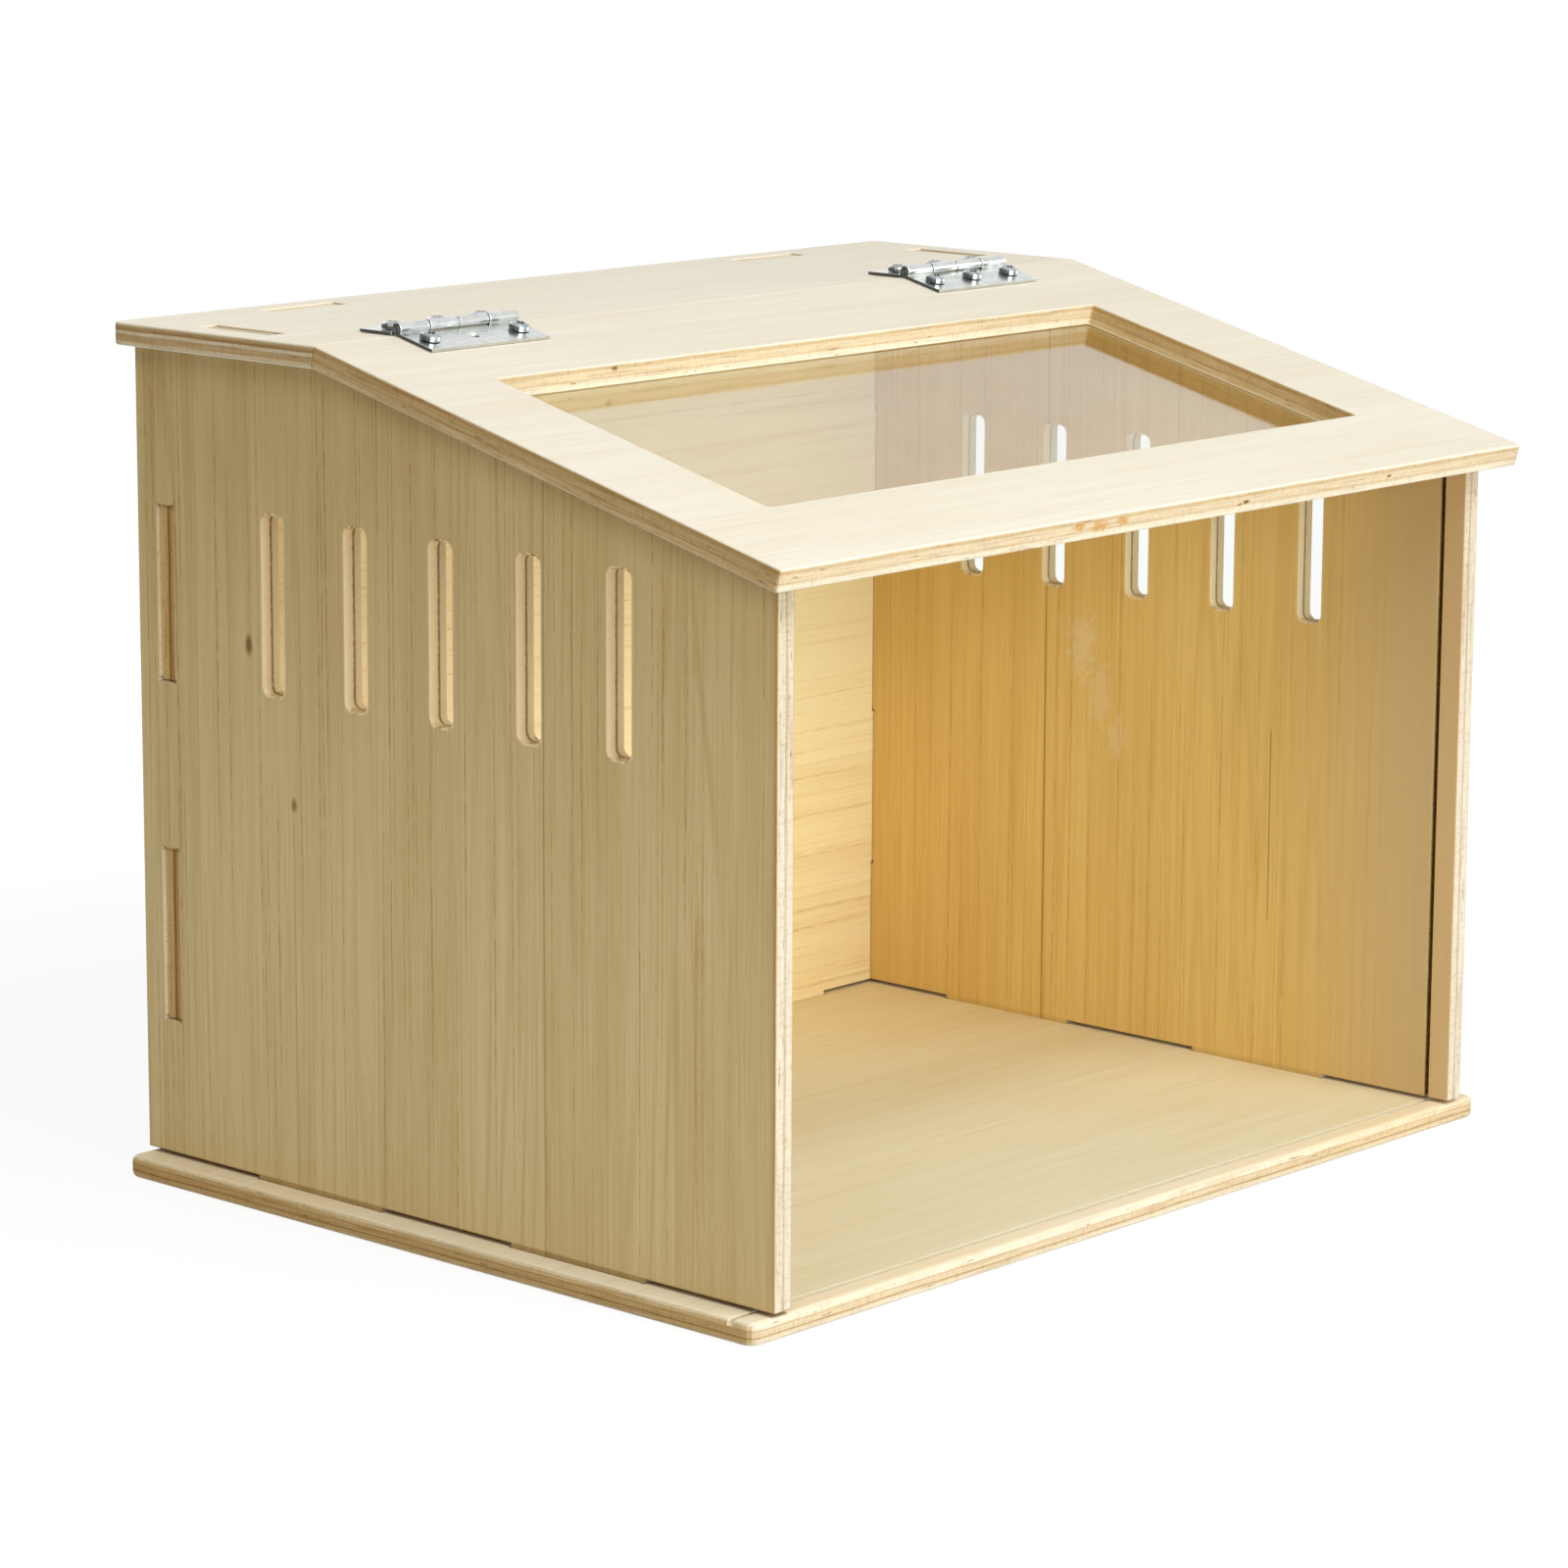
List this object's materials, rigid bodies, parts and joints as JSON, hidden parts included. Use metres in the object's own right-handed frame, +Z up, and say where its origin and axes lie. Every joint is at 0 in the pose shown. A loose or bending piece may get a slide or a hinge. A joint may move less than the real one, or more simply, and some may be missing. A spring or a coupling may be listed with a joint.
{
  "type": "feeder box with window lid",
  "caption": "Plywood feeder box with tab-and-mortise panels, vent slots in both sides, a clear front pane and a sloped window lid that swings up on butt hinges.",
  "frame": {"origin": "on the ground, under the middle of the overall box", "axes": "+X to the right seen from the front, along the hinge line; +Y to the back; +Z up"},
  "size_m": [0.452, 0.3541, 0.3513],
  "materials": {
    "plywood": "bare birch plywood, sanded",
    "acrylic": "clear polished sheet",
    "zinc": "zinc plated"
  },
  "bodies": {
    "box": {"base_panel": "plywood", "left_side_panel": "plywood", "right_side_panel": "plywood", "back_panel": "plywood", "roof_panel": "plywood", "front_pane": "acrylic", "left_hinge_roof_leaf": "zinc", "left_hinge_pin": "zinc", "right_hinge_roof_leaf": "zinc", "right_hinge_pin": "zinc", "left_roof_screw_1": "zinc", "left_roof_screw_2": "zinc", "left_roof_screw_3": "zinc", "right_roof_screw_1": "zinc", "right_roof_screw_2": "zinc", "right_roof_screw_3": "zinc"},
    "lid": {"lid_frame": "plywood", "window_pane": "acrylic", "left_hinge_lid_leaf": "zinc", "right_hinge_lid_leaf": "zinc", "left_lid_screw_1": "zinc", "left_lid_screw_3": "zinc", "right_lid_screw_1": "zinc", "right_lid_screw_2": "zinc", "right_lid_screw_3": "zinc"}
  },
  "joints": [
    {"name": "lid_hinge", "type": "hinge", "parent": "box", "child": "lid", "pos_m": [0, 0.06107, 0.3488], "axis": [-1, 0, 0], "range_deg": [0, 160]}
  ]
}
